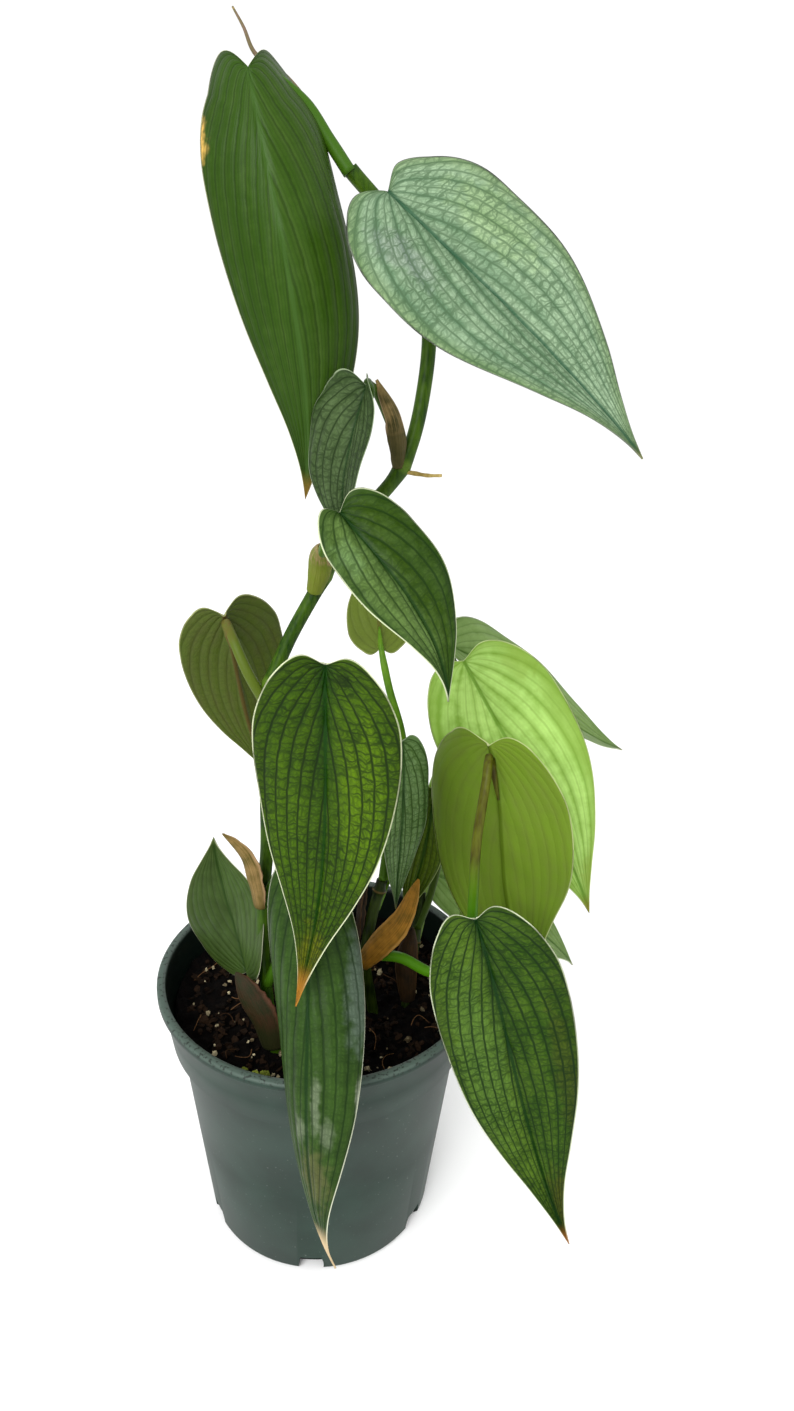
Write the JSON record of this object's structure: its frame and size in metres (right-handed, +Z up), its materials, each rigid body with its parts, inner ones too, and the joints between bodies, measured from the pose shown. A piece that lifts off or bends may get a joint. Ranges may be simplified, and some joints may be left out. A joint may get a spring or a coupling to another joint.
{
  "type": "potted silver leaf philodendron",
  "caption": "Climbing aroid house plant with heart-shaped, drawn-out green and silver leaves on a bent vine and short shoots, in a round nursery pot of soil.",
  "frame": {"origin": "centre of the pot's underside, on the surface that the pot stands on", "axes": "+Z up along the pot's axis, +X to the right and -Y to the front as the picture shows the plant"},
  "size_m": [0.1693, 0.1419, 0.3942],
  "materials": {
    "pot_plastic": "satin moulded polypropylene",
    "potting_mix": "moist bark and peat with pale perlite grains",
    "stem_green": "smooth waxy stem",
    "leaf_green": "waxy satin leaf, pale margin",
    "leaf_silver": "silvery satin leaf, dark veins",
    "leaf_yellow_green": "waxy satin leaf",
    "leaf_lime": "soft new leaf",
    "sheath_dry": "dry papery sheath",
    "sheath_brown": "dry papery sheath",
    "root_ochre": "woody aerial root"
  },
  "bodies": {
    "root": {"pot": "pot_plastic", "soil": "potting_mix", "main_vine": "stem_green", "left_shoot": "stem_green", "middle_shoot": "stem_green", "right_shoot": "stem_green", "leaf_top_left": "leaf_green", "leaf_top_right": "leaf_silver", "leaf_upper_small": "leaf_silver", "leaf_centre": "leaf_green", "leaf_front_centre": "leaf_yellow_green", "leaf_left_underside": "leaf_green", "leaf_narrow_silver": "leaf_silver", "leaf_narrow_dark": "leaf_green", "leaf_new_lime": "leaf_lime", "leaf_right_underside": "leaf_yellow_green", "leaf_lower_right": "leaf_green", "leaf_over_rim": "leaf_green", "leaf_small_left": "leaf_green", "leaf_back_centre": "leaf_yellow_green", "leaf_back_right": "leaf_green", "leaf_over_back_rim": "leaf_green", "sheath_dry_left": "sheath_dry", "sheath_basal_red": "sheath_brown", "sheath_orange": "sheath_dry", "sheath_brown_upright": "sheath_brown", "sheath_brown_back": "sheath_brown", "sheath_upper_tan": "sheath_dry", "sheath_olive_centre": "sheath_dry", "growing_tip": "stem_green", "aerial_root": "root_ochre"}
  },
  "joints": []
}
